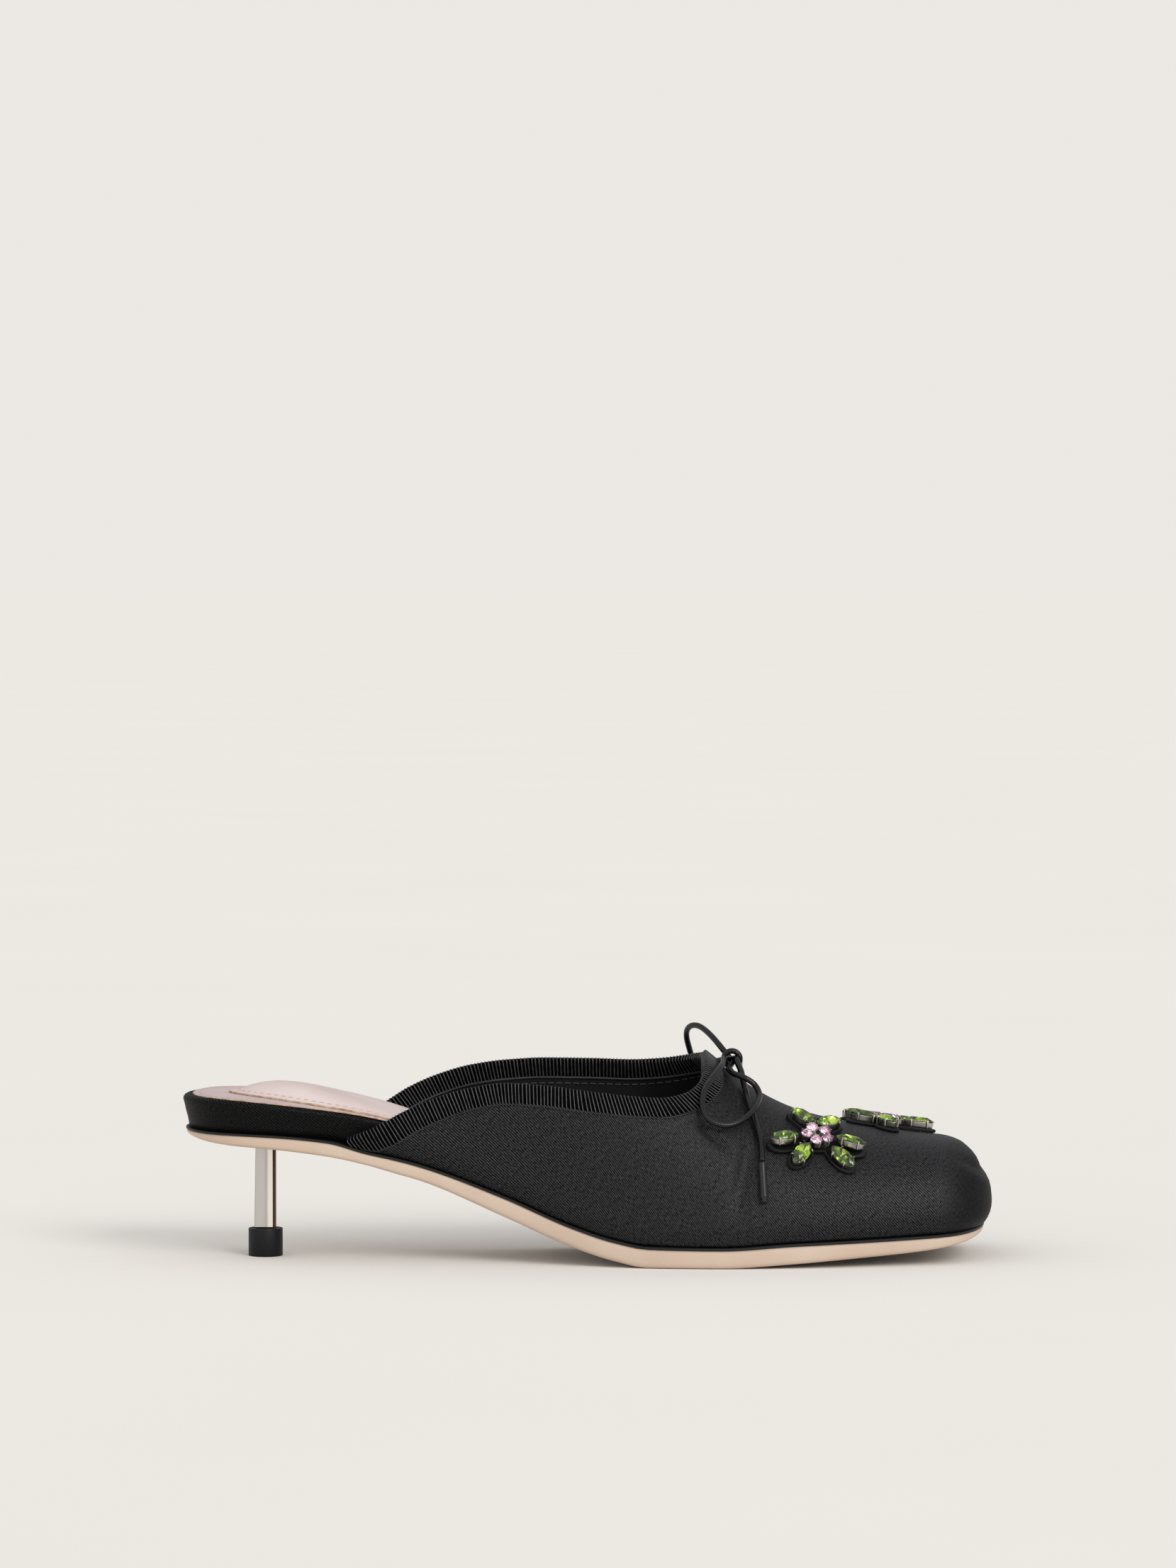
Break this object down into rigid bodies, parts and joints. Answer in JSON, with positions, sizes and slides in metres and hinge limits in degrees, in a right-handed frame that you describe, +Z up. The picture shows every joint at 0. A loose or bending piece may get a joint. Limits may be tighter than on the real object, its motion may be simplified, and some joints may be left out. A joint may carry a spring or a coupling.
{
  "type": "heeled mule",
  "caption": "Black satin mule with a square toe, ribbon-bound topline, drawcord bow, crystal flowers on the vamp, pink leather insole and a slim steel kitten heel.",
  "frame": {"origin": "middle of the shoe's length and width on the floor it stands on, the cord left out", "axes": "+X toward the toe, -Y the outer (lateral) side, +Z up"},
  "size_m": [0.2456, 0.078, 0.0696],
  "materials": {
    "satin": "satin twill",
    "grosgrain": "ribbed ribbon",
    "nude_leather": "smooth",
    "edge_paint": "edge paint",
    "pink_leather": "soft matte",
    "steel": "brushed",
    "rubber": "moulded",
    "cord": "braided",
    "aglet": "shrunk tube",
    "backing": "corded felt",
    "silver": "polished",
    "green_crystal": "faceted",
    "pink_crystal": "faceted"
  },
  "bodies": {
    "root": {"outsole": "nude_leather", "rand": "edge_paint", "footbed": "satin", "insole": "pink_leather", "heel_pad": "pink_leather", "heel_pin": "steel", "heel_tip": "rubber", "upper": "satin", "collar_binding": "grosgrain", "bow_knot": "cord", "bow_loop_lateral": "cord", "bow_loop_medial": "cord", "bow_end_lateral": "cord", "bow_end_medial": "cord", "bow_aglet_lateral": "aglet", "bow_aglet_medial": "aglet", "flower_lateral_backing": "backing", "flower_lateral_setting_1": "silver", "flower_lateral_navette_1": "green_crystal", "flower_lateral_setting_2": "silver", "flower_lateral_navette_2": "green_crystal", "flower_lateral_setting_3": "silver", "flower_lateral_navette_3": "green_crystal", "flower_lateral_setting_4": "silver", "flower_lateral_navette_4": "green_crystal", "flower_lateral_setting_5": "silver", "flower_lateral_navette_5": "green_crystal", "flower_lateral_setting_6": "silver", "flower_lateral_navette_6": "green_crystal", "flower_lateral_centre_seat": "silver", "flower_lateral_round_1": "pink_crystal", "flower_lateral_round_2": "pink_crystal", "flower_lateral_round_3": "pink_crystal", "flower_lateral_round_4": "pink_crystal", "flower_lateral_round_5": "pink_crystal", "flower_medial_backing": "backing", "flower_medial_setting_1": "silver", "flower_medial_navette_1": "green_crystal", "flower_medial_setting_2": "silver", "flower_medial_navette_2": "green_crystal", "flower_medial_setting_3": "silver", "flower_medial_navette_3": "green_crystal", "flower_medial_setting_4": "silver", "flower_medial_navette_4": "green_crystal", "flower_medial_setting_5": "silver", "flower_medial_navette_5": "green_crystal", "flower_medial_setting_6": "silver", "flower_medial_navette_6": "green_crystal", "flower_medial_centre_seat": "silver", "flower_medial_round_1": "pink_crystal", "flower_medial_round_2": "pink_crystal", "flower_medial_round_3": "pink_crystal", "flower_medial_round_4": "pink_crystal", "flower_medial_round_5": "pink_crystal"}
  },
  "joints": []
}
